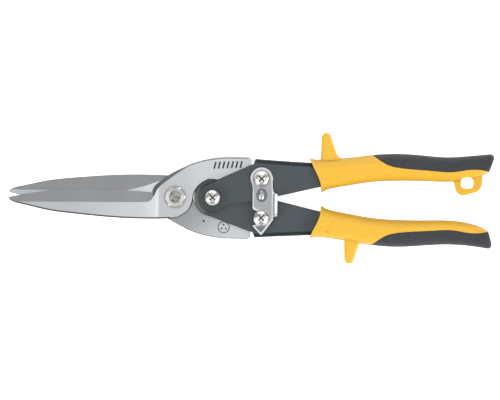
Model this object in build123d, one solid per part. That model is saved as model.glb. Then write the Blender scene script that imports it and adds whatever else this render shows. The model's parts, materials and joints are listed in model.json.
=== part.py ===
from build123d import *
import math
import os

# Compound-action aviation snips lying flat: +X from the blade tips to the grips, +Y towards the
# upper handle, +Z up through the front face. Everything is drawn about the blade pivot with the
# two blades meeting at z = 0, then moved so that the origin is at the middle of the bottom.

# ---- driving dimensions, mm ----
HANDLE_PIVOT_X = 22.4
TAIL_X, TAIL_Y = 51.5, 11.65
BLADE_T = 3.4
BLADE_GAP = 0.04                # between the two blades' sliding faces, each side
SHEET_T = 1.8                   # channel sheet
LOWER_HALF = 5.3                # half height of the lower (inner) channel
UPPER_HALF = 7.2                # half height of the upper (outer) channel
WEB_START_X = 47.7              # where the channels' webs begin
LATCH_Z, LATCH_T = 7.3, 1.5
GRIP_HALF = 10.8                # half height of the grips over their flat sides
PAD_T = 1.7
M5_R, M7_R = 2.5, 3.5           # bolt shanks
RUN = 0.05                      # radial running clearance
OPEN_PIVOT_CLEARANCE = 0.5      # round the lower tail bolt, in the rear blade
HEAD_R, HEAD_H = 4.7, 2.6
WASHER_T, THIN_NUT_T = 0.8, 2.7
NUT_AF = 8.0
SPRING_WIRE_R, SPRING_COIL_R, SPRING_TURNS = 0.8, 5.3, 3
SLEEVE_R = 3.9
SPACER_R = 4.2

BLADE_PIVOT = (0, 0)
HANDLE_PIVOT = (HANDLE_PIVOT_X, 0)
UPPER_TAIL = (TAIL_X, TAIL_Y)
LOWER_TAIL = (TAIL_X, -TAIL_Y)

parts = {}


# ---- helpers ----
def prism(edges, z0, z1):
    return Pos(0, 0, z0) * extrude(make_face(edges), amount=z1 - z0, dir=(0, 0, 1))


def disc(centre, r, z0, z1):
    return Pos(*centre, (z0 + z1) / 2) * Cylinder(r, z1 - z0)


def ring(centre, r_out, r_in, z0, z1):
    return disc(centre, r_out, z0, z1) - disc(centre, r_in, z0 - 1, z1 + 1)


def hexagon(centre, across_flats, z0, z1):
    return Pos(*centre, z0) * extrude(RegularPolygon(across_flats / 2, 6, major_radius=False), z1 - z0)


def on_circle(centre, r, degrees):
    a = math.radians(degrees)
    return (centre[0] + r * math.cos(a), centre[1] + r * math.sin(a))


def turned_over(shape):
    return Rot(180, 0, 0) * shape


def face_edges(shape, z):
    return [e for e in shape.edges() if abs(e.bounding_box().min.Z - z) < 1e-3
            and abs(e.bounding_box().max.Z - z) < 1e-3]


def edge_cut(path, w, d):
    """Cutter for a chamfer of width w and depth d along the left of a curve on the top face."""
    sections = []
    for t in (0, 1):
        tangent = path % t
        at = Plane(origin=path @ t, x_dir=Vector(-tangent.Y, tangent.X, 0), z_dir=tangent)
        up = 1 if at.y_dir.Z > 0 else -1
        corners = [(-1.5 * w, 0.5 * d * up), (0.3 * w, -1.3 * d * up), (0.6 * w, 0.5 * d * up)]
        sections.append(at * make_face(Polyline(*corners, close=True)))
    return sweep(sections, path=path, multisection=True)


# ---- fasteners ----
def cross_recess(r, depth, z_top):
    slot = Box(2 * r, 0.34 * r, 2 * depth)
    cross = slot + Rot(0, 0, 90) * slot
    return Pos(0, 0, z_top) * Rot(0, 0, 45) * (cross + Cone(0.05 * r, 0.36 * r, 2 * depth))


def domed_head(z, r=HEAD_R, h=HEAD_H):
    """Pan head with a domed top and a cross recess, its seat at z."""
    profile = make_face([Line((0, 0), (r, 0)), Line((r, 0), (r, 0.3 * h)),
                         ThreePointArc((r, 0.3 * h), (0.74 * r, 0.8 * h), (0, h)),
                         Line((0, h), (0, 0))])
    head = revolve(Plane.XZ * profile, Axis.Z)
    return Pos(0, 0, z) * (head - cross_recess(0.52 * r, 0.6 * h, h))


def shank(r, z0, z1, chamfered=0.4):
    body = Pos(0, 0, (z0 + z1) / 2) * Cylinder(r, z1 - z0)
    return chamfer(body.faces().sort_by(Axis.Z)[0].edges(), chamfered)


def bolt(centre, r, seat_z, end_z):
    return Pos(*centre, 0) * (shank(r, end_z, seat_z) + domed_head(seat_z))


def hex_nut(centre, r_bore, across_flats, z0, z1):
    """Hex nut with its corners turned down on both faces."""
    body = hexagon(centre, across_flats, z0, z1)
    corner = across_flats / math.sqrt(3)
    h = z1 - z0
    lens = make_face([Line((0, 0), (corner - 0.7, 0)), Line((corner - 0.7, 0), (corner, 0.4)),
                      Line((corner, 0.4), (corner, h - 0.4)), Line((corner, h - 0.4), (corner - 0.7, h)),
                      Line((corner - 0.7, h), (0, h)), Line((0, h), (0, 0))])
    body &= Pos(*centre, z0) * revolve(Plane.XZ * lens, Axis.Z)
    return body - disc(centre, r_bore, z0 - 1, z1 + 1)


# ---- blades ----
def blade():
    """The front blade: jaw below the axis, tail up to the upper handle, outside face at +z."""
    tip = (-99.5, -1.5)
    edge_heel, land_heel = (-14.0, 2.5), (-13.3, 4.5)
    shoulder_x, tail_top_y = 45.4, 24.4
    spine = Spline((-2.7, -12.8), (-8, -13.1), (-36, -12.8), (-60, -10.9), (-78, -8.6), (-90, -5.9),
                   (-96, -4.45), (-99, -2.8), tip, tangents=[(-1, -0.1), (0, 1)])
    boss_left = Spline(land_heel, (-11.3, 7.5), (-8.2, 10.0), (-3.2, 13.7), (2.5, 16.8),
                       tangents=[(0.4, 1), (1, 0.49)])
    tail_top = Spline((2.5, 16.8), (8.5, 19.7), (14.4, 21.8), (20.4, 23.2), (27, 24.15),
                      (35, tail_top_y), (43.6, tail_top_y), tangents=[(1, 0.49), (1, 0)])
    boss_right = Spline((20.4, 10.8), (13.9, 6.6), (11.2, 1.8), (10.6, -1.7), (9.1, -5.8),
                        (6.9, -8.9), (2.9, -11.4), (-2.7, -12.8), tangents=[(-1, -0.35), (-1, -0.1)])
    outline = [
        Spline(tip, (-94.5, -0.3), (-88.2, 0.75), (-76, 2.8), (-60, 3.5), (-40, 3.8), (-28, 3.5),
               edge_heel),
        Line(edge_heel, land_heel),
        boss_left,
        tail_top,
        RadiusArc((43.6, tail_top_y), (shoulder_x, tail_top_y - 1.8), 1.8),
        Line((shoulder_x, tail_top_y - 1.8), (shoulder_x, TAIL_Y + 3.5)),
        ThreePointArc((shoulder_x, TAIL_Y + 3.5), on_circle(UPPER_TAIL, 7.03, 0), (50.2, 4.74)),
        Spline((50.2, 4.74), (38, 7.2), (27, 9.8), (20.4, 10.8), tangents=[(-1, 0.18), (-1, 0.1)]),
        boss_right,
        spine,
    ]
    body = prism(outline, BLADE_GAP, BLADE_T)

    # Ground bevel from the cutting edge to a straight line along the jaw, ending at the boss.
    bevel_y, edge_y, edge_z, over = -3.15, 3.8, 0.5, 3
    low_z = edge_z - over * (BLADE_T - edge_z) / (edge_y - bevel_y)
    slope = make_face(Polyline((bevel_y, BLADE_T), (edge_y + over, low_z), (edge_y + over, BLADE_T + 1),
                               (bevel_y, BLADE_T + 1), close=True))
    wedge = Rot(0, 0, 0.6) * Pos(-120, 0, 0) * extrude(Plane.YZ * slope, amount=120, dir=(1, 0, 0))
    reach = prism([Line((-120, -8), (-18, -8)), Line((-18, -8), (-18, bevel_y)),
                   ThreePointArc((-18, bevel_y), (-14.7, -2.3), (-13.0, 0.6)),
                   Line((-13.0, 0.6), (-14.0, 8)), Line((-14.0, 8), (-120, 8)),
                   Line((-120, 8), (-120, -8))], -1, BLADE_T + 2)
    body -= wedge & reach

    # Hollow-ground relief on the sliding face, sloping away from the land behind the cutting edge.
    land_y, spine_y, relief_z = -2.6, -13.5, 1.1
    relief_slope = make_face(Polyline((land_y, 0.0), (spine_y - 2, relief_z * 1.18), (spine_y - 2, -1),
                                      (land_y, -1), close=True))
    relief_wedge = Pos(-120, 0, 0) * extrude(Plane.YZ * relief_slope, amount=130, dir=(1, 0, 0))
    relief_plan = prism([Spline((-101, -3.4), (-76, -2.8), (-50, -3.1), (-28.8, -3.6)),
                         Spline((-28.8, -3.6), (-18.9, -6.2), (-8.2, -10.2), (-2.5, -13.4)),
                         Line((-2.5, -13.4), (-2.5, -16)), Line((-2.5, -16), (-101, -16)),
                         Line((-101, -16), (-101, -3.4))], -1, 2)
    body -= relief_wedge & relief_plan

    # Chamfers of the outside face: wide round the boss, where it leaves the edge gradually and fades
    # out, and narrower along the tail and the spine.
    top = Pos(0, 0, BLADE_T)
    boss = Spline((-14.9, 1.2), (-13.5, 4.5), (-11.4, 7.6), (-8.1, 10.4), (-3.0, 14.3), (7, 20.8))
    for path, width, depth in ((spine, 1.0, 0.9), (tail_top, 0.95, 0.95), (boss, 2.5, 1.75),
                               (boss_right, 0.55, 0.55)):
        body -= edge_cut(top * path, width, depth)
    # The tail's edge on the sliding face is broken too.
    middle = Plane.XY.offset((BLADE_T + BLADE_GAP) / 2)
    body -= mirror(edge_cut(top * tail_top, 0.5, 0.6), middle)

    body -= disc(BLADE_PIVOT, M7_R + RUN, -1, BLADE_T + 1)
    return body


front_blade = blade()
rear_blade = turned_over(front_blade)
front_blade -= disc(UPPER_TAIL, M5_R + RUN, -1, BLADE_T + 1)
rear_blade -= disc(LOWER_TAIL, M5_R + OPEN_PIVOT_CLEARANCE, -BLADE_T - 1, 1)

# Engraved generic marks: a row of slanted bars on the front tail, a ring stamp on the rear one.
MARK_DEPTH = 0.25
for i in range(7):
    bar = Box(1.1, 4.2, 2 * MARK_DEPTH)
    front_blade -= Pos(23.5 + 2.6 * i, 19.3 + 0.12 * i, BLADE_T) * Rot(0, 0, -14) * bar
stamp = (29.2, -17.6)
rear_blade -= ring(stamp, 3.6, 3.1, -BLADE_GAP - MARK_DEPTH, 1)
for i in range(3):
    rear_blade -= disc(on_circle(stamp, 1.5, 90 + 120 * i), 0.55, -BLADE_GAP - MARK_DEPTH, 1)
rear_blade -= disc((17.2, -14.1), 0.7, -BLADE_GAP - MARK_DEPTH, 1)
parts["front_blade"] = front_blade
parts["rear_blade"] = rear_blade

# ---- handle channels ----
WEB_TOP = (WEB_START_X, 23.5)
CHANNEL_END_X = 168


def channel(half, ring_r, leave_deg):
    """Folded U channel of the upper handle: two flanges round the pivot, web along the outside."""
    web_foot = (WEB_START_X - 1.3, 20.4)
    far_top, far_low = (CHANNEL_END_X, 22.6), (CHANNEL_END_X, 14.2)
    ring_top, ring_low = on_circle(HANDLE_PIVOT, ring_r, leave_deg), on_circle(HANDLE_PIVOT, ring_r, -76)
    web = Spline(WEB_TOP, (62, 22.6), (74, 22.0), (90, 21.5), (112, 22.6), (140, 23.2), far_top)
    outline = [
        ThreePointArc(ring_low, on_circle(HANDLE_PIVOT, ring_r, 180), ring_top),
        Line(ring_top, web_foot), Line(web_foot, WEB_TOP), web, Line(far_top, far_low),
        Spline(far_low, (140, 14.4), (118, 12.8), (100, 9.7), (86, 7.1), (74, 4.3), (61.6, 1.4),
               (50, -1.0), (39, -2.7), (30, -4.5), ring_low, tangents=[(-1, 0.03), (-1, -0.8)]),
    ]
    envelope = prism(outline, -half, half)
    bends = [e for z in (-half, half) for e in face_edges(envelope, z)
             if e.center().Y > 20 and e.length > 50]
    envelope = fillet(bends, SHEET_T + 1.2)
    rims = [e for z in (-half, half) for e in face_edges(envelope, z) if e.center().X < 40]
    envelope = chamfer(rims, 0.35)

    # The space between the flanges, as deep as the inside of the web.
    inner = half - SHEET_T
    inside_web = Spline((WEB_START_X - 0.3, 21.7), (62, 20.8), (74, 20.2), (90, 19.7), (112, 20.8),
                        (140, 21.4), (CHANNEL_END_X + 2, 20.8))
    hollow = prism([inside_web, Line((CHANNEL_END_X + 2, 20.8), (CHANNEL_END_X + 2, -40)),
                    Line((CHANNEL_END_X + 2, -40), (5, -40)), Line((5, -40), (5, 40)),
                    Line((5, 40), (WEB_START_X, 40)), Line((WEB_START_X, 40), WEB_TOP),
                    Line(WEB_TOP, (WEB_START_X - 0.3, 21.7))], -inner, inner)
    corners = [e for z in (-inner, inner) for e in face_edges(hollow, z)
               if e.center().Y > 19 and 115 < e.length < 130]
    hollow = fillet(corners, 1.2)
    sheet = envelope - hollow
    for centre in (HANDLE_PIVOT, UPPER_TAIL):
        sheet -= disc(centre, M5_R + RUN, -half - 1, half + 1)
    return sheet, envelope


upper_channel, upper_envelope = channel(UPPER_HALF, 8.5, 114)
lower_channel, lower_envelope = [turned_over(s) for s in channel(LOWER_HALF, 11.1, 98)]
parts["upper_handle_channel"] = upper_channel
parts["lower_handle_channel"] = lower_channel

# ---- blade pivot: bolt head behind, hex nut in front ----
NUT_FRONT = (BLADE_T + 0.03, BLADE_T + 4.6)
back_face = -BLADE_T - 0.03
pivot_shank = Pos(0, 0, (NUT_FRONT[1] + 0.7 + back_face - WASHER_T) / 2) * Cylinder(
    M7_R, NUT_FRONT[1] + 0.7 - back_face + WASHER_T)
pivot_shank = chamfer(pivot_shank.faces().sort_by(Axis.Z)[-1].edges(), 0.6)
pivot_head = Pos(0, 0, back_face - WASHER_T) * turned_over(domed_head(0, 6.2, 3.6))
parts["blade_pivot_bolt"] = pivot_shank + pivot_head
parts["blade_pivot_washer"] = ring(BLADE_PIVOT, 7.2, M7_R, back_face - WASHER_T, back_face)
parts["blade_pivot_nut"] = hex_nut(BLADE_PIVOT, M7_R, 11.0, *NUT_FRONT)


# ---- handle pivot and tail bolts ----
def back_fixings(centre, flange_half, nut_t):
    """Washer and nut on the back of a channel, and the z where the nut ends."""
    z = -flange_half
    washer = ring(centre, M5_R + 2.4, M5_R, z - WASHER_T, z)
    nut_end = z - WASHER_T - nut_t
    return washer, hex_nut(centre, M5_R, NUT_AF, nut_end, z - WASHER_T), nut_end


washer, nut, end_z = back_fixings(HANDLE_PIVOT, UPPER_HALF, THIN_NUT_T)
parts["handle_pivot_bolt"] = bolt(HANDLE_PIVOT, M5_R, UPPER_HALF, end_z)
parts["handle_pivot_washer"], parts["handle_pivot_nut"] = washer, nut
sleeve_z = LOWER_HALF - SHEET_T - 0.05
parts["handle_pivot_sleeve"] = ring(HANDLE_PIVOT, SLEEVE_R, M5_R, -sleeve_z, sleeve_z)

washer, nut, end_z = back_fixings(UPPER_TAIL, UPPER_HALF, THIN_NUT_T)
latch_top = LATCH_Z + LATCH_T
wave_z = (latch_top + 0.05, latch_top + 0.35)
parts["upper_tail_bolt"] = bolt(UPPER_TAIL, M5_R, wave_z[1], end_z)
parts["upper_tail_washer"], parts["upper_tail_nut"] = washer, nut
parts["latch_wave_washer"] = ring(UPPER_TAIL, 4.3, M5_R, *wave_z)
inner_upper = UPPER_HALF - SHEET_T
parts["upper_tail_spacer"] = (ring(UPPER_TAIL, SPACER_R, M5_R, BLADE_T + 0.05, inner_upper)
                              + ring(UPPER_TAIL, SPACER_R, M5_R, -inner_upper, 0))

# The lower tail bolt has a collar on the flange and a thin neck that the latch hooks round.
NECK_R, COLLAR_R, COLLAR_T = 2.1, 4.0, 1.0
washer, nut, end_z = back_fixings(LOWER_TAIL, LOWER_HALF, 4.0)
neck_top = latch_top + 0.2
parts["lower_tail_bolt"] = (bolt(LOWER_TAIL, NECK_R, neck_top, LOWER_HALF)
                            + disc(LOWER_TAIL, COLLAR_R, LOWER_HALF, LOWER_HALF + COLLAR_T)
                            + Pos(*LOWER_TAIL, 0) * shank(M5_R, end_z, LOWER_HALF + 0.5))
parts["lower_tail_washer"], parts["lower_tail_nut"] = washer, nut
parts["lower_tail_spacer"] = ring(LOWER_TAIL, SPACER_R, M5_R, 0.05, LOWER_HALF - SHEET_T)

# ---- return spring: coil round the sleeve, legs bearing on the two spacers ----
leg_end = (TAIL_X + 3, TAIL_Y - SPACER_R - SPRING_WIRE_R - 0.05)
rise = 1.9 * (SPRING_TURNS - 0.5)
reach_x = leg_end[0] - HANDLE_PIVOT_X
distance = math.hypot(reach_x, leg_end[1])
touch = math.degrees(math.atan2(leg_end[1], reach_x) + math.acos(SPRING_COIL_R / distance))
coil_turns = (2 * (180 - touch) + 360 * (SPRING_TURNS - 1)) / 360
coil_path = Pos(*HANDLE_PIVOT, -rise / 2) * Rot(0, 0, touch) * Helix(rise / coil_turns, rise,
                                                                     SPRING_COIL_R)
wire_start = Plane(origin=coil_path @ 0, z_dir=coil_path % 0)
spring = sweep(wire_start * Circle(SPRING_WIRE_R), path=coil_path)
for bend, side in ((coil_path @ 0, 1), (coil_path @ 1, -1)):
    leg = Vector(leg_end[0], side * leg_end[1], bend.Z) - bend
    wire = Plane(origin=bend, z_dir=leg) * Circle(SPRING_WIRE_R)
    spring += extrude(wire, amount=leg.length) + Pos(bend) * Sphere(SPRING_WIRE_R)
parts["return_spring"] = spring


# ---- latch ----
def latch():
    """Latch plate in its own frame about the upper tail bolt, with notch, recess and thumb tab."""
    end_r, half_w = 6.7, 7.2
    hook_y = -2 * TAIL_Y
    notch_r = NECK_R + 0.25
    lip = (-5.3, hook_y - 4.7)
    outline = [
        ThreePointArc((end_r, 0), (0, end_r), (-end_r, 0)),
        Spline((-end_r, 0), (-5.9, -3.2), (-5.4, -8.4), tangents=[(0, -1), (0, -1)]),
        Line((-5.4, -8.4), (-5.4, -16.7)),
        ThreePointArc((-5.4, -16.7), (-4.9, -18.1), (-3.6, -18.9)),
        Line((-3.6, -18.9), (notch_r * 0.3, hook_y + notch_r)),
        ThreePointArc((notch_r * 0.3, hook_y + notch_r), (notch_r * 1.15, hook_y),
                      (notch_r * 0.3, hook_y - notch_r)),
        Line((notch_r * 0.3, hook_y - notch_r), lip),
        Line(lip, (-0.6, -33.0)),
        ThreePointArc((-0.6, -33.0), (0, -33.35), (0.7, -33.0)),
        Line((0.7, -33.0), (half_w, -24.3)), Line((half_w, -24.3), (half_w, -8.4)),
        Spline((half_w, -8.4), (end_r, -5.5), (end_r, 0), tangents=[(0, 1), (0, 1)]),
    ]
    plate = prism(outline, 0, LATCH_T)
    plate = chamfer(face_edges(plate, LATCH_T), 0.3)
    # The middle is pressed in, so that a rim stands round it.
    sunk = [ThreePointArc((5.7, 0), (0, 5.7), (-5.7, 0)),
            Polyline((-5.7, 0), (-4.5, -8.4), (-4.5, -16.4), (-3.3, -17.9), (3.2, -19.2), (4.6, -21.4),
                     (4.6, -25.2), (3.3, -27.4), (-4.0, -28.2), (0, -32.1), (6.2, -24.1), (6.2, -8.4),
                     (5.7, 0))]
    plate -= Pos(0, 0, LATCH_T - 0.25) * extrude(make_face(sunk), 1)
    # Thumb tab folded up from the right edge.
    tab_len, tab_y = 13.4, -15.5
    tab = Box(1.5, tab_len, 5.6, align=(Align.MIN, Align.CENTER, Align.MIN))
    tab = fillet(tab.edges().filter_by(Axis.Y).group_by(Axis.Z)[0].sort_by(Axis.X)[-1], 1.2)
    tab = fillet(tab.edges().filter_by(Axis.X).group_by(Axis.Z)[-1], 1.5)
    link_t = LATCH_T - 0.35
    plate += Pos(half_w + 0.8, tab_y, 0) * tab
    plate += Pos(half_w, tab_y, link_t / 2) * Box(2.4, tab_len + 1.0, link_t)
    # Oval recess with a hole for the detent button.
    plate -= Pos(0.2, -9.8, LATCH_T - 0.7) * extrude(Ellipse(3.3, 4.2), 2)
    plate -= disc((0, -9.8), 1.4, -1, LATCH_T)
    return plate - disc((0, 0), M5_R + RUN, -1, LATCH_T + 1)


parts["latch_plate"] = Pos(*UPPER_TAIL, LATCH_Z) * latch()
button_dome = scale(Sphere(1), by=(1.95, 3.1, 1.1)) & Pos(0, 0, 2) * Box(8, 8, 4)
button = button_dome + Cylinder(1.4, LATCH_T - 0.7, align=(Align.CENTER, Align.CENTER, Align.MAX))
parts["latch_detent_button"] = Pos(TAIL_X, TAIL_Y - 9.8, LATCH_Z + LATCH_T - 0.7) * button

# ---- grips ----
# Plan outlines of the grips, from the slanted front end to the rear: outer edge, then inner edge.
UPPER_OUTER = [(79.6, 24.0), (84, 23.7), (92, 24.1), (104, 25.2), (118, 27.0), (132, 27.8), (146, 27.2),
               (161, 26.2), (176, 27.2), (191.0, 28.7)]
LOWER_OUTER = [(79.6, 23.1), (84, 22.8), (92, 23.2), (104, 25.0), (118, 27.0), (132, 27.8), (146, 27.0),
               (161, 26.0), (176, 26.6), (190.0, 28.7)]
INNER = [(87.2, 4.4), (90, 5.5), (101, 7.9), (116, 10.5), (134, 11.6), (150, 11.6), (164, 11.5),
         (172, 12.3), (180, 14.1), (187.2, 17.8)]
CROWN = GRIP_HALF + 0.3         # half height before the sides are flattened
GRIP_SECTIONS = 26


def grip_body(outer_points, inset, until=1.0):
    """Rounded grip lofted between its plan outlines, each side moved in by inset."""
    outer, inner = Spline(*outer_points), Spline(*INNER)
    sections = []
    for i in range(GRIP_SECTIONS):
        t = until * i / (GRIP_SECTIONS - 1)
        a, b = outer @ t, inner @ t
        w = (a - b).length - 2 * inset
        side = Plane(origin=(a + b) / 2, x_dir=a - b, z_dir=(a - b).cross(Vector(0, 0, 1)))
        sections.append(side * RectangleRounded(w, 2 * (CROWN - inset), min(0.42 * w, 7.0 - inset)))
    return loft(sections)


def pad_zone(shift):
    """The outer side of the grip, where the soft pad is, moved out by shift."""
    seam = Spline((116.6, 40 + shift), (117.4, 27 + shift), (121.3, 23.9 + shift), (126, 21.1 + shift),
                  (133, 19.3 + shift), (142.7, 18.4 + shift), (155, 17.6 + shift), (166, 17.3 + shift),
                  (175, 18.7 + shift), (183, 18.6 + shift), (192, 15.5 + shift))
    return prism([seam, Line((192, 15.5 + shift), (200, 15.5 + shift)),
                  Line((200, 15.5 + shift), (200, 40 + shift)),
                  Line((200, 40 + shift), (116.6, 40 + shift))], -20, 20)


def front_edge():
    """Cutter for the grip's front edge, which bows back towards the rear."""
    return prism([Spline((79.2, 26), (80.3, 23.5), (82.3, 19.1), (84.5, 14.8), (86.3, 10.4), (87.0, 6.5),
                         (87.3, 2)), Line((87.3, 2), (70, 2)), Line((70, 2), (70, 26)),
                  Line((70, 26), (79.2, 26))], -20, 20)


def horn(x0, tip_y, foot_x):
    """Finger guard standing out from the grip, rounded at its tip, its rear side ending at foot_x."""
    outline = [Line((x0, 20), (x0 + 0.3, tip_y - 2.9)),
               ThreePointArc((x0 + 0.3, tip_y - 2.9), (x0 + 3.1, tip_y), (x0 + 6.0, tip_y - 2.5)),
               Line((x0 + 6.0, tip_y - 2.5), (foot_x - 0.9, 27.6)),
               ThreePointArc((foot_x - 0.9, 27.6), (foot_x + 0.4, 25.7), (foot_x + 2.4, 24.7)),
               Line((foot_x + 2.4, 24.7), (foot_x + 2.4, 20)), Line((foot_x + 2.4, 20), (x0, 20))]
    body = prism(outline, -7.5, 7.5)
    return fillet([e for z in (-7.5, 7.5) for e in face_edges(body, z) if e.center().Y > 26], 2.0)


def hang_loop():
    """Loop under the rear of the upper grip, with a rounded four-sided hole."""
    outline = [Spline((165.0, 13.5), (166.7, 9.3), (167.9, 5.6), (170.8, 3.6), (176.4, 4.7),
                      (181.2, 6.6), (182.9, 10.5), (183.0, 17)),
               Line((183.0, 17), (165.0, 17)), Line((165.0, 17), (165.0, 13.5))]
    body = prism(outline, -4.2, 4.2)
    hole = Pos(174.2, 11.0, 0) * extrude(RectangleRounded(7.6, 6.4, 2.4), 10, both=True)
    return body, hole


def grip(envelope, outer_points, guard, looped):
    """Core and pad of the upper-side grip over a channel envelope."""
    body = grip_body(outer_points, 0)
    rear = body.faces().sort_by(Axis.X)[-1]
    body = fillet(rear.edges(), 2.2)
    rim = grip_body(outer_points, -0.4, until=0.022)
    outer = ((body + rim) & Box(400, 200, 2 * GRIP_HALF)) - front_edge()
    lining = grip_body(outer_points, PAD_T, until=0.984)
    pad = (outer & pad_zone(0.12)) - lining
    core = (outer - pad_zone(0)) + (lining & outer)
    core += guard
    if looped:
        loop, hole = hang_loop()
        core = core + loop - hole
    return core - envelope, pad


core, pad = grip(upper_envelope, UPPER_OUTER, horn(86.6, 39.7, 96.8), True)
parts["upper_grip_core"], parts["upper_grip_pad"] = core, pad
core, pad = grip(turned_over(lower_envelope), LOWER_OUTER, horn(101.2, 38.3, 110.8), False)
core = turned_over(core)
# A faint raised chevron beside the lower finger guard.
for start, run in (((91.1, -20.4), (4.6, 6.7)), ((95.7, -13.7), (4.6, -6.7))):
    way = math.degrees(math.atan2(run[1], run[0]))
    rib = Box(math.hypot(*run) + 0.8, 0.8, 1.5)
    core += Pos(start[0] + run[0] / 2, start[1] + run[1] / 2, GRIP_HALF - 0.5) * Rot(0, 0, way) * rib
parts["lower_grip_core"], parts["lower_grip_pad"] = core, turned_over(pad)

# ---- export, with the origin at the middle of the bottom ----
box = Compound(children=[Compound(p.solids()) for p in parts.values()]).bounding_box()
ORIGIN = Vector((box.min.X + box.max.X) / 2, (box.min.Y + box.max.Y) / 2, box.min.Z)
parts = {name: Pos(-ORIGIN) * shape for name, shape in parts.items()}

if __name__ == "__main__":
    os.makedirs("parts", exist_ok=True)
    for name, shape in parts.items():
        export_step(shape, f"parts/{name}.step")
        print(f"{name:24s} solids {len(shape.solids())}  volume {shape.volume:9.1f}")
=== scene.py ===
import json
import math

import bmesh
import bpy
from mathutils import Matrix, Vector


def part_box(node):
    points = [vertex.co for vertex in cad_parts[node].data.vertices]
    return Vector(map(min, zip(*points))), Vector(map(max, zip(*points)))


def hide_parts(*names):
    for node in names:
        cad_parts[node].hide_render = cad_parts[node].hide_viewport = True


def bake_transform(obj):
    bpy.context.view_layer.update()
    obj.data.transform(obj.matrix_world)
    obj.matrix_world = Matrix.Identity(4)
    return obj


# Aviation snips lying latched on a white sweep, seen from straight above.
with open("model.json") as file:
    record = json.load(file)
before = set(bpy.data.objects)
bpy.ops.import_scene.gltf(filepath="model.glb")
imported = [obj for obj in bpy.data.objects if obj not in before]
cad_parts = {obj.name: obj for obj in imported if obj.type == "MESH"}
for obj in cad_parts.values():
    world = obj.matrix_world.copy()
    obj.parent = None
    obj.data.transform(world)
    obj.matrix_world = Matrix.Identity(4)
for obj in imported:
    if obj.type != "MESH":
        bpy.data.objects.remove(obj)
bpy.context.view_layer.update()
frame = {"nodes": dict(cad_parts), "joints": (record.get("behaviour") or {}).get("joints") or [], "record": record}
nodes = frame["nodes"]
joints = {j["name"]: j for j in frame["joints"]}
scene = bpy.context.scene

MM = 0.001
BLADE_PIVOT = Vector(joints["blade_pivot"]["pos_m"])
HANDLE_PIVOT = Vector(joints["handle_pivot"]["pos_m"])


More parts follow.
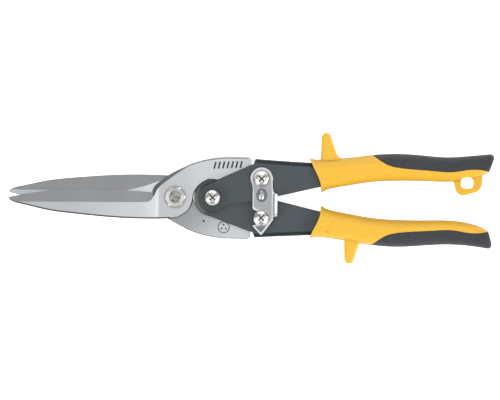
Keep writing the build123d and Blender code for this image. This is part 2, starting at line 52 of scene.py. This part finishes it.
# ---- shader building ----
class Shader:
    """A node tree being built, with its Principled shader."""

    def __init__(self, name, **sockets):
        self.material = bpy.data.materials.new(name)
        self.material.use_nodes = True
        self.tree = self.material.node_tree
        self.bsdf = self.tree.nodes["Principled BSDF"]
        for key, value in sockets.items():
            self.bsdf.inputs[key.replace("_", " ")].default_value = value
        self.coords = self.add("ShaderNodeTexCoord").outputs["Object"]

    def add(self, kind, **settings):
        node = self.tree.nodes.new(kind)
        for key, value in settings.items():
            setattr(node, key, value)
        return node

    def link(self, source, target):
        self.tree.links.new(source, target)

    def set(self, socket, source):
        self.link(source, self.bsdf.inputs[socket])

    def stretched(self, scale, turn=0.0):
        """Object coordinates turned about Z and scaled per axis, for grain that runs one way."""
        mapping = self.add("ShaderNodeMapping")
        mapping.inputs["Scale"].default_value = scale
        mapping.inputs["Rotation"].default_value = (0, 0, turn)
        self.link(self.coords, mapping.inputs["Vector"])
        return mapping.outputs["Vector"]

    def noise(self, scale, detail=4.0, rough=0.55, vector=None):
        node = self.add("ShaderNodeTexNoise")
        node.inputs["Scale"].default_value = scale
        node.inputs["Detail"].default_value = detail
        node.inputs["Roughness"].default_value = rough
        self.link(vector or self.coords, node.inputs["Vector"])
        return node.outputs["Fac"]

    def voronoi(self, scale):
        node = self.add("ShaderNodeTexVoronoi", feature="SMOOTH_F1")
        node.inputs["Scale"].default_value = scale
        self.link(self.coords, node.inputs["Vector"])
        return node.outputs["Distance"]

    def ramp(self, fac, stops):
        """Colour or grey ramp over fac; stops are (position, colour)."""
        node = self.add("ShaderNodeValToRGB")
        elements = node.color_ramp.elements
        while len(elements) < len(stops):
            elements.new(0.5)
        for element, (at, colour) in zip(elements, stops):
            element.position = at
            element.color = (*colour, 1) if isinstance(colour, tuple) else (colour, colour, colour, 1)
        self.link(fac, node.inputs["Fac"])
        return node.outputs["Color"]

    def mix(self, fac, a, b):
        """Colour a where fac is 0, b where it is 1."""
        node = self.add("ShaderNodeMix", data_type="RGBA")
        for socket, value in ((node.inputs["Factor"], fac), (node.inputs["A"], a),
                              (node.inputs["B"], b)):
            if hasattr(value, "is_linked"):
                self.link(value, socket)
            elif socket.name == "Factor":
                socket.default_value = value
            else:
                socket.default_value = (*value, 1)
        return node.outputs["Result"]

    def to_range(self, fac, low, high):
        """fac stretched from 0..1 to low..high."""
        node = self.add("ShaderNodeMapRange")
        node.inputs["To Min"].default_value = low
        node.inputs["To Max"].default_value = high
        self.link(fac, node.inputs["Value"])
        return node.outputs["Result"]

    def bump(self, *layers):
        """Stacked bumps: (height source, strength, distance in metres)."""
        normal = None
        for height, strength, distance in layers:
            node = self.add("ShaderNodeBump")
            node.inputs["Strength"].default_value = strength
            node.inputs["Distance"].default_value = distance
            self.link(height, node.inputs["Height"])
            if normal:
                self.link(normal, node.inputs["Normal"])
            normal = node.outputs["Normal"]
        self.set("Normal", normal)

    def step(self, source, low, high):
        """0 below low, 1 above high, smooth between; high may be the smaller one."""
        node = self.add("ShaderNodeMapRange", interpolation_type="SMOOTHSTEP")
        flip = high < low
        node.inputs["From Min"].default_value = high if flip else low
        node.inputs["From Max"].default_value = low if flip else high
        node.inputs["To Min"].default_value = 1.0 if flip else 0.0
        node.inputs["To Max"].default_value = 0.0 if flip else 1.0
        self.link(source, node.inputs["Value"])
        return node.outputs["Result"]

    def axis(self, index, source=None):
        """One component of the position, or of source: 0 is x, 1 is y, 2 is z."""
        node = self.add("ShaderNodeSeparateXYZ")
        self.link(source or self.coords, node.inputs["Vector"])
        return node.outputs[index]

    def math(self, operation, a, b=None):
        node = self.add("ShaderNodeMath", operation=operation)
        for socket, value in zip(node.inputs, (a, b)):
            if hasattr(value, "is_linked"):
                self.link(value, socket)
            elif value is not None:
                socket.default_value = value
        return node.outputs["Value"]

    def between(self, source, low, high, soft):
        """1 between low and high, fading over soft."""
        return self.math("MULTIPLY", self.step(source, low - soft, low),
                         self.step(source, high + soft, high))

    def tilt(self, low, high):
        """1 on faces that lie flat across Z, 0 on faces turned away from it."""
        normal = self.add("ShaderNodeTexCoord").outputs["Normal"]
        return self.step(self.math("ABSOLUTE", self.axis(2, normal)), low, high)

    def near(self, centre, low, high):
        """1 within low of a vertical line through centre, 0 beyond high."""
        flat = self.stretched((1, 1, 0))
        away = self.add("ShaderNodeVectorMath", operation="DISTANCE")
        self.link(flat, away.inputs[0])
        away.inputs[1].default_value = (centre[0], centre[1], 0)
        return self.step(away.outputs["Value"], high, low)


def dimmed(tone, factor):
    """A colour made darker, or lighter where factor is above 1."""
    return tuple(min(1.0, factor * c) for c in tone)


def ground_steel(name, tone, rough):
    """Ground tool steel: fine lines along one direction, faint cloudy tone."""
    s = Shader(name, Metallic=1.0)
    lines = s.noise(60, 6, 0.6, s.stretched((400, 22, 60)))
    cloud = s.noise(45, 3, 0.5)
    fine = s.ramp(lines, [(0.3, dimmed(tone, 0.86)), (0.7, tone)])
    s.set("Base Color", s.mix(s.to_range(cloud, 0.0, 0.35), fine, dimmed(tone, 0.8)))
    s.set("Roughness", s.to_range(lines, rough - 0.05, rough + 0.07))
    s.bump((lines, 0.06, 0.04 * MM), (cloud, 0.05, 0.2 * MM))
    return s.material


def lapped_blade(name, tone, mark_z, mark_span, grime_shade_span, grime_shade_share):
    """Blade steel: bright lapped flats, ground facets darkened by painted shade, engraved marks, grime and painted
    contact shade round the pivot.
    """
    s = Shader(name, Metallic=1.0)
    across = s.noise(60, 6, 0.6, s.stretched((420, 18, 60), math.radians(4)))
    along = s.noise(60, 6, 0.6, s.stretched((18, 420, 60), math.radians(-3)))
    cloud = s.noise(38, 4, 0.55)
    x = s.axis(0)
    flat = s.tilt(*FLAT_TILT)
    boss = s.step(x, JAW_END - 0.3 * MM, JAW_END + 0.5 * MM)
    # The jaw's face grows brighter towards the boss, as painted highlight nearest it, and ends in a painted
    # highlight band.
    lapped = s.ramp(along, [(0.25, dimmed(tone, 0.70)), (0.75, dimmed(tone, 0.80))])
    toward_boss = s.step(x, JAW_END - 62 * MM, JAW_END - 4 * MM)
    lapped = s.mix(toward_boss, lapped, dimmed(tone, 0.98))
    lapped = s.mix(s.step(x, JAW_END - 12 * MM, JAW_END - 3 * MM), lapped, dimmed(tone, 1.10))
    lapped = s.mix(s.between(x, JAW_END - 1.4 * MM, JAW_END - 0.4 * MM, 1.2 * MM), lapped,
                   dimmed(tone, 1.25))
    # The boss is duller, the tail behind it brighter.
    boss_tone = s.ramp(across, [(0.25, dimmed(tone, 0.80)), (0.75, dimmed(tone, 0.90))])
    boss_tone = s.mix(s.step(x, BLADE_PIVOT.x + 2 * MM, BLADE_PIVOT.x + 16 * MM), boss_tone,
                      dimmed(tone, 0.95))
    # Grime and painted contact shade round the pivot.
    grime_and_contact_shade = s.math("MULTIPLY", s.near(BLADE_PIVOT, *grime_shade_span), grime_shade_share)
    grime_and_contact_shade = s.math("MULTIPLY", grime_and_contact_shade, s.step(x, BLADE_PIVOT.x - 9 * MM, BLADE_PIVOT.x - 5 * MM))
    # Ground facets keep their grind lines; their darker tones are partly ground finish, partly painted shade.
    facet = s.mix(s.tilt(*RELIEF_TILT), BEVEL_TONE, RELIEF_TONE)
    ground = s.mix(s.math("MULTIPLY", s.step(along, 0.75, 0.25), 0.6), facet, GRIND_LINE_TONE)
    # Chamfers are painted shade, lighter above the pivot as painted light.
    edge = s.mix(s.step(s.axis(1), BLADE_PIVOT.y - 2 * MM, BLADE_PIVOT.y + 2 * MM), EDGE_TONE,
                 BOSS_EDGE_TONE)
    turned = s.mix(s.tilt(*FACET_TILT), edge, ground)
    steel = s.mix(flat, turned, s.mix(boss, lapped, boss_tone))
    steel = s.mix(grime_and_contact_shade, steel, GRIME_AND_SHADE_TONE)
    steel = s.mix(s.to_range(cloud, 0.0, 0.3), steel, dimmed(tone, 0.66))
    mark_floor = s.between(s.axis(2), mark_z - 0.06 * MM, mark_z + 0.06 * MM, 0.02 * MM)
    engraved = s.math("MULTIPLY", mark_floor, s.between(x, mark_span[0], mark_span[1], 0.2 * MM))
    steel = s.mix(engraved, steel, MARK_TONE)
    s.set("Base Color", steel)
    grain = s.mix(flat, along, s.mix(boss, along, across))
    s.set("Roughness", s.math("ADD", s.to_range(grain, 0.30, 0.42),
                              s.math("MULTIPLY", engraved, 0.25)))
    s.bump((grain, 0.07, 0.04 * MM), (cloud, 0.05, 0.2 * MM))
    return s.material


def plated(name, tone, rough):
    """Bright plating with slight pits, and painted shade in its crevices."""
    s = Shader(name, Metallic=1.0)
    speck = s.noise(900, 3, 0.6)
    cloud = s.noise(120, 3, 0.5)
    crevice = s.add("ShaderNodeNewGeometry").outputs["Pointiness"]
    clean = s.mix(s.step(cloud, 0.35, 0.75), tone, dimmed(tone, 0.5))
    # Painted shade in the crevices, found by pointiness.
    s.set("Base Color", s.mix(s.step(crevice, 0.47, 0.40), clean, dimmed(tone, 0.12)))
    s.set("Roughness", s.to_range(speck, rough - 0.05, rough + 0.08))
    s.bump((speck, 0.05, 0.05 * MM), (cloud, 0.2, 0.5 * MM))
    return s.material


def screw_plating(node, tone, rough):
    """Plating of a screw head, with painted shade round its rim and inside its cross recess."""
    low, high = (Vector(c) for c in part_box(node))
    s = Shader(node + "_plating", Metallic=1.0)
    speck = s.noise(900, 3, 0.6)
    cloud = s.noise(260, 3, 0.6)
    recess = s.math("MULTIPLY", s.near((low + high) / 2, 2.55 * MM, 2.75 * MM),
                    s.step(s.axis(2), high.z - 0.30 * MM, high.z - 0.42 * MM))
    clean = s.mix(s.step(cloud, 0.35, 0.7), tone, dimmed(tone, 0.68))
    # Painted shade round the rim, where the head turns away from Z.
    clean = s.mix(s.tilt(0.45, 0.8), dimmed(tone, 0.4), clean)
    # Painted shade inside the cross recess.
    s.set("Base Color", s.mix(recess, clean, RECESS_SHADE_TONE))
    s.set("Roughness", s.math("ADD", s.to_range(speck, rough - 0.05, rough + 0.08),
                              s.math("MULTIPLY", recess, 0.3)))
    s.bump((speck, 0.05, 0.05 * MM), (cloud, 0.05, 0.2 * MM))
    return s.material


def peened_end(name, tone, rough, end_z):
    """Plated bolt whose front end is cut and peened over: rougher and darker above end_z."""
    s = Shader(name, Metallic=1.0)
    dents = s.noise(420, 3, 0.6)
    cloud = s.noise(150, 3, 0.5)
    end = s.step(s.axis(2), end_z - 1.2 * MM, end_z - 0.6 * MM)
    plating = s.mix(s.to_range(cloud, 0.0, 0.5), tone, dimmed(tone, 0.72))
    peened = s.ramp(dents, [(0.35, PEEN_PIT_TONE), (0.62, PEEN_TOP_TONE)])
    s.set("Base Color", s.mix(end, plating, peened))
    s.set("Roughness", s.math("ADD", s.to_range(dents, rough, rough + 0.1),
                              s.math("MULTIPLY", end, 0.12)))
    s.bump((dents, 0.55, 0.6 * MM))
    return s.material


def pressed_plate(name, tone, rough, top_z):
    """Plated latch pressing: painted highlight on the rim at top_z, painted shade on the sunk middle, in the
    recess and on the tip.
    """
    s = Shader(name, Metallic=1.0)
    speck = s.noise(700, 3, 0.6)
    streak = s.noise(50, 5, 0.6, s.stretched((30, 260, 30), 0.1))
    z = s.axis(2)
    # Painted highlight along the rim: its top edge and the faces turned away from Z.
    rim = s.math("MAXIMUM", s.step(z, top_z - 0.20 * MM, top_z - 0.06 * MM), s.tilt(0.95, 0.85))
    sunk = s.step(z, top_z - 0.62 * MM, top_z - 0.45 * MM)
    # Painted shade: the sunk middle is a darker copy of the plating, streaked.
    middle = s.ramp(streak, [(0.25, dimmed(tone, 0.42)), (0.75, dimmed(tone, 0.56))])
    # Painted shade on the tip.
    tip_shade = s.step(s.axis(1), LATCH_TIP_Y + 6.5 * MM, LATCH_TIP_Y + 4.0 * MM)
    middle = s.mix(tip_shade, middle, dimmed(tone, 0.25))
    # Painted shade deeper down, in the recess.
    low = s.mix(sunk, dimmed(tone, 0.22), middle)
    # The rim's painted highlight is brighter on the folded tab.
    on_tab = s.step(z, top_z + 1.0 * MM, top_z + 2.0 * MM)
    bright = s.mix(on_tab, dimmed(tone, 0.86), dimmed(tone, 1.15))
    s.set("Base Color", s.mix(rim, low, bright))
    s.set("Roughness", s.to_range(speck, rough - 0.05, rough + 0.1))
    s.bump((speck, 0.05, 0.06 * MM), (streak, 0.05, 0.2 * MM))
    return s.material


def coated(name, tone):
    """Dark satin powder coat over steel: orange peel, painted shade round the pivot, painted light on the far
    ring, painted shade and rubbed wear on the bends.
    """
    s = Shader(name, Metallic=0.0)
    peel = s.noise(1500, 2, 0.5)
    cloud = s.noise(60, 4, 0.6)
    smear = s.noise(420, 4, 0.65)
    body = s.mix(cloud, dimmed(tone, 0.88), dimmed(tone, 1.12))
    # Painted shade round the pivot.
    pivot_shade = s.math("MULTIPLY", s.near(HANDLE_PIVOT, 6.5 * MM, 14 * MM), 0.65)
    body = s.mix(pivot_shade, body, GRIME_AND_SHADE_TONE)
    # The far channel's ring carries painted light where it shows past the near one, in front of the pivot.
    ring = s.math("SUBTRACT", s.near(HANDLE_PIVOT, 10.9 * MM, 11.4 * MM),
                  s.near(HANDLE_PIVOT, 7.8 * MM, 8.3 * MM))
    in_front = s.step(s.axis(0), HANDLE_PIVOT.x - 2 * MM, HANDLE_PIVOT.x - 7 * MM)
    below = s.step(s.axis(1), HANDLE_PIVOT.y + 8 * MM, HANDLE_PIVOT.y)
    far_ring_light = s.math("MULTIPLY", s.math("MULTIPLY", ring, in_front), below)
    body = s.mix(far_ring_light, body, FAR_RING_LIGHT_TONE)
    turned = s.tilt(0.998, 0.955)
    # Painted shade on the bends, which turn away from Z.
    body = s.mix(turned, body, dimmed(tone, 0.42))
    rubbed = s.math("MULTIPLY", turned, s.step(smear, 0.56, 0.72))
    s.set("Base Color", s.mix(s.math("MULTIPLY", rubbed, 0.3), body, dimmed(tone, 1.8)))
    s.set("Specular IOR Level", s.to_range(turned, 0.5, 0.12))
    s.set("Roughness", s.to_range(cloud, 0.40, 0.52))
    s.bump((peel, 0.12, 0.06 * MM), (s.noise(300, 2), 0.04, 0.1 * MM))
    return s.material


def moulded(name, tone, rough, grain_scale, grain_strength, spread, shade, rib_z=None):
    """Moulded grip plastic, finely pebbled, darker in its hollows, with painted shade on its sides and a painted
    highlight above rib_z.
    """
    s = Shader(name)
    pebble = s.voronoi(grain_scale)
    cloud = s.noise(30, 3, 0.5)
    body = s.mix(cloud, dimmed(tone, 1 - spread), dimmed(tone, 1 + spread))
    scuffs = s.step(s.noise(700, 5, 0.7, s.stretched((1, 4, 1), 0.3)), 0.66, 0.78)
    body = s.mix(s.math("MULTIPLY", scuffs, 0.18), body, dimmed(tone, 0.75))
    body = s.mix(s.step(pebble, 0.3, 0.62), body, dimmed(tone, shade))
    if rib_z:
        # Painted highlight on the rib tops.
        ribs = s.step(s.axis(2), rib_z - 0.05 * MM, rib_z)
        body = s.mix(ribs, body, dimmed(tone, 1.14))
    # Painted shade on the sides, which turn away from Z.
    body = s.mix(s.tilt(0.25, 0.75), dimmed(tone, 0.6), body)
    s.set("Base Color", body)
    s.set("Roughness", s.to_range(s.noise(400, 2), rough - 0.05, rough + 0.05))
    s.bump((pebble, grain_strength, 0.12 * MM), (s.noise(35, 2), 0.06, 0.6 * MM))
    return s.material


def height_of(node):
    """The highest point of a CAD node."""
    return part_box(node)[1][2]


JAW_END = BLADE_PIVOT.x - 9.9 * MM          # where the bright jaw face meets the boss
MARK_DEPTH = 0.25 * MM
# How far a face's normal leans towards Z, below and above which it counts as the one kind or the other:
FACET_TILT = (0.82, 0.88)                   # chamfer, or ground facet
RELIEF_TILT = (0.96, 0.985)                 # cutting bevel, or hollow relief
FLAT_TILT = (0.9962, 0.9985)                # ground facet, or lapped flat
BLADE_TONE = (0.62, 0.63, 0.64)
# The bevel and relief tones are partly ground finish, partly painted shade; the edge tones are painted shade.
BEVEL_TONE = (0.20, 0.203, 0.205)
RELIEF_TONE = (0.30, 0.304, 0.305)
GRIND_LINE_TONE = (0.13, 0.13, 0.13)
EDGE_TONE = (0.085, 0.085, 0.085)
BOSS_EDGE_TONE = (0.20, 0.20, 0.20)
MARK_TONE = (0.10, 0.10, 0.10)
GRIME_AND_SHADE_TONE = (0.022, 0.026, 0.026)
FAR_RING_LIGHT_TONE = (0.115, 0.118, 0.112)
ZINC_TONE = (0.83, 0.81, 0.76)
RECESS_SHADE_TONE = (0.11, 0.10, 0.085)
PEEN_PIT_TONE = (0.10, 0.098, 0.09)
PEEN_TOP_TONE = (0.42, 0.41, 0.38)
NICKEL_TONE = (0.74, 0.75, 0.77)
LATCH_TIP_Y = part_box("latch_plate")[0][1]
LATCH_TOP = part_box("latch_plate")[0][2] + 1.5 * MM     # the plate's face, below its folded tab

front_steel = lapped_blade("front_blade_steel", BLADE_TONE, height_of("front_blade") - MARK_DEPTH,
                           (BLADE_PIVOT.x + 20 * MM, BLADE_PIVOT.x + 43 * MM), (6.2 * MM, 7.4 * MM), 0.35)
rear_steel = lapped_blade("rear_blade_steel", BLADE_TONE, height_of("rear_blade") - MARK_DEPTH,
                          (BLADE_PIVOT.x + 14 * MM, BLADE_PIVOT.x + 36 * MM), (14 * MM, 40 * MM), 0.45)
zinc = plated("zinc_fastener", ZINC_TONE, 0.17)
# The nut's plating is the zinc dimmed, as painted shade.
nut_zinc = plated("nut_plating", dimmed(ZINC_TONE, 0.78), 0.24)
pivot_zinc = peened_end("peened_bolt", ZINC_TONE, 0.2, height_of("blade_pivot_bolt"))
nickel = plated("button_plating", NICKEL_TONE, 0.34)
latch_plating = pressed_plate("latch_plating", NICKEL_TONE, 0.26, LATCH_TOP)
bush_steel = ground_steel("bush_steel", (0.45, 0.45, 0.46), 0.4)
spring_steel = ground_steel("spring_steel", (0.35, 0.35, 0.36), 0.35)
handle_paint = coated("handle_paint", (0.040, 0.050, 0.056))
grip_yellow = moulded("grip_yellow", (0.73, 0.405, 0.022), 0.5, 900, 0.07, 0.03, 0.95,
                      height_of("lower_grip_core") - 0.1 * MM)
grip_dark = moulded("grip_dark", (0.024, 0.026, 0.030), 0.66, 700, 0.3, 0.10, 0.8)

BY_SLOT = {"zinc_fastener": zinc, "latch_plating": latch_plating, "bush_steel": bush_steel,
           "spring_steel": spring_steel, "handle_paint": handle_paint, "grip_yellow": grip_yellow,
           "grip_dark": grip_dark}
BY_NODE = {"front_blade": front_steel, "rear_blade": rear_steel, "blade_pivot_bolt": pivot_zinc,
           "blade_pivot_nut": nut_zinc, "latch_detent_button": nickel}
for screw in ("handle_pivot_bolt", "upper_tail_bolt", "lower_tail_bolt"):
    BY_NODE[screw] = screw_plating(screw, ZINC_TONE, 0.32)

# Blades keep their shallow facets crisp; the other parts only their real edges.
for part in frame["record"]["subparts"]:
    node = part["node"]
    mesh = nodes[node].data
    mesh.materials.clear()
    mesh.materials.append(BY_NODE.get(node) or BY_SLOT[part["material_slot"]])
    mesh.shade_smooth()
    mesh.set_sharp_from_angle(angle=math.radians(5 if node.endswith("_blade") else 28))


# ---- return spring: one wire, coiled round the sleeve, a leg to each handle ----
def wire_mesh(name, path, radius, sides=14):
    """Round wire along a path of points, with rounded ends."""
    caps = []
    for end, inward in ((path[0], path[1] - path[0]), (path[-1], path[-2] - path[-1])):
        inward = inward.normalized()
        caps.append([(end + inward * radius * (1 - math.sin(a)), radius * math.cos(a))
                     for a in (1.45, 1.0, 0.5)])
    stations = caps[0] + [(p, radius) for p in path[1:-1]] + caps[1][::-1]

    bm = bmesh.new()
    rings = []
    side_way = Vector((0, 0, 1))
    for i, (point, r) in enumerate(stations):
        ahead = stations[min(i + 1, len(stations) - 1)][0] - stations[max(i - 1, 0)][0]
        ahead.normalize()
        side_way = (side_way - ahead * side_way.dot(ahead)).normalized()
        other = ahead.cross(side_way)
        rings.append([bm.verts.new(point + r * (math.cos(a) * side_way + math.sin(a) * other))
                      for a in (2 * math.pi * k / sides for k in range(sides))])
    for first, second in zip(rings, rings[1:]):
        for k in range(sides):
            bm.faces.new((first[k], first[(k + 1) % sides], second[(k + 1) % sides], second[k]))
    bm.faces.new(rings[0][::-1])
    bm.faces.new(rings[-1])
    bmesh.ops.recalc_face_normals(bm, faces=bm.faces)
    mesh = bpy.data.meshes.new(name)
    bm.to_mesh(mesh)
    bm.free()
    mesh.shade_smooth()
    obj = bpy.data.objects.new(name, mesh)
    scene.collection.objects.link(obj)
    return obj


WIRE_R, COIL_R, TURNS = 0.8 * MM, 5.3 * MM, 3
PITCH = 1.9 * MM
RISE = PITCH * (TURNS - 0.5)
COIL_STEPS, LEG_STEPS = 96, 8
spring_low, spring_high = (Vector(c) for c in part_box("return_spring"))
middle_z = (spring_low.z + spring_high.z) / 2
leg_x = spring_high.x - HANDLE_PIVOT.x
leg_y = 6.6 * MM
reach = math.hypot(leg_x, leg_y)
touch = math.atan2(leg_y, leg_x) + math.acos(COIL_R / reach)   # where the upper leg leaves the coil
turn = 2 * (math.pi - touch) + 2 * math.pi * (TURNS - 1)


def coil_point(t):
    """Point of the coil's middle line, from the upper leg at 0 to the lower leg at 1."""
    a = touch + turn * t
    return Vector((HANDLE_PIVOT.x + COIL_R * math.cos(a), HANDLE_PIVOT.y + COIL_R * math.sin(a),
                   middle_z + RISE * (t - 0.5)))


coil = [coil_point(i / COIL_STEPS) for i in range(COIL_STEPS + 1)]
leg_ends = [Vector((HANDLE_PIVOT.x + leg_x, HANDLE_PIVOT.y + side * leg_y, bend.z))
            for side, bend in ((1, coil[0]), (-1, coil[-1]))]
upper_leg = [leg_ends[0].lerp(coil[0], i / LEG_STEPS) for i in range(LEG_STEPS)]
lower_leg = [coil[-1].lerp(leg_ends[1], (i + 1) / LEG_STEPS) for i in range(LEG_STEPS)]
spring = wire_mesh("spring_wire", upper_leg + coil + lower_leg, WIRE_R)
spring.data.materials.append(spring_steel)
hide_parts("return_spring")
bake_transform(spring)

# ---- studio ----
FLOOR_HALF = 3.0
floor_mesh = bpy.data.meshes.new("floor")
floor_mesh.from_pydata([(x * FLOOR_HALF, y * FLOOR_HALF, 0) for x, y in ((-1, -1), (1, -1), (1, 1), (-1, 1))],
                       [], [(0, 1, 2, 3)])
floor = bpy.data.objects.new("floor", floor_mesh)
scene.collection.objects.link(floor)
sweep = Shader("white_sweep", Roughness=0.9)
sweep.bsdf.inputs["Base Color"].default_value = (0.9, 0.9, 0.9, 1)
sweep.bsdf.inputs["Emission Color"].default_value = (1, 1, 1, 1)
sweep.bsdf.inputs["Emission Strength"].default_value = 0.95
floor_mesh.materials.append(sweep.material)

world = bpy.data.worlds.new("studio")
scene.world = world
world.use_nodes = True
world.node_tree.nodes["Background"].inputs["Color"].default_value = (0.82, 0.86, 0.92, 1)
world.node_tree.nodes["Background"].inputs["Strength"].default_value = 0.35


def softbox(name, place, size, power):
    """Rectangular area light at place, aimed at the middle of the tool."""
    light = bpy.data.lights.new(name, "AREA")
    light.shape = "RECTANGLE"
    light.size, light.size_y = size
    light.energy = power
    obj = bpy.data.objects.new(name, light)
    obj.location = place
    obj.rotation_euler = (-Vector(place)).to_track_quat("-Z", "Y").to_euler()
    obj.visible_camera = False
    scene.collection.objects.link(obj)


softbox("overhead", (0.0, 0.05, 1.5), (1.5, 1.2), 5.2)
softbox("left_side", (-1.1, -0.75, 0.9), (0.9, 0.7), 16)
softbox("right_side", (1.1, -0.75, 0.9), (0.9, 0.7), 16)
softbox("far_strip", (0.0, 1.35, 0.8), (1.4, 0.5), 10)
softbox("low_strip", (1.3, 0.1, 0.4), (0.25, 0.9), 4)

# ---- camera: straight above, rolled so that the tool's axis runs slightly down to the right ----
VIEW_WIDTH = 0.2985
VIEW_DISTANCE = 4.0
AIM = Vector((-0.55 * MM, -1.8 * MM, 0))
FOCUS_HEIGHT = 12 * MM
camera_data = bpy.data.cameras.new("camera")
camera_data.sensor_width = 36
camera_data.lens = 36 * VIEW_DISTANCE / VIEW_WIDTH
camera = bpy.data.objects.new("camera", camera_data)
camera.location = AIM + Vector((0, 0, VIEW_DISTANCE + FOCUS_HEIGHT))
camera.rotation_euler = (0, 0, math.radians(0.87))
scene.collection.objects.link(camera)
scene.camera = camera
scene.view_settings.view_transform = "Standard"
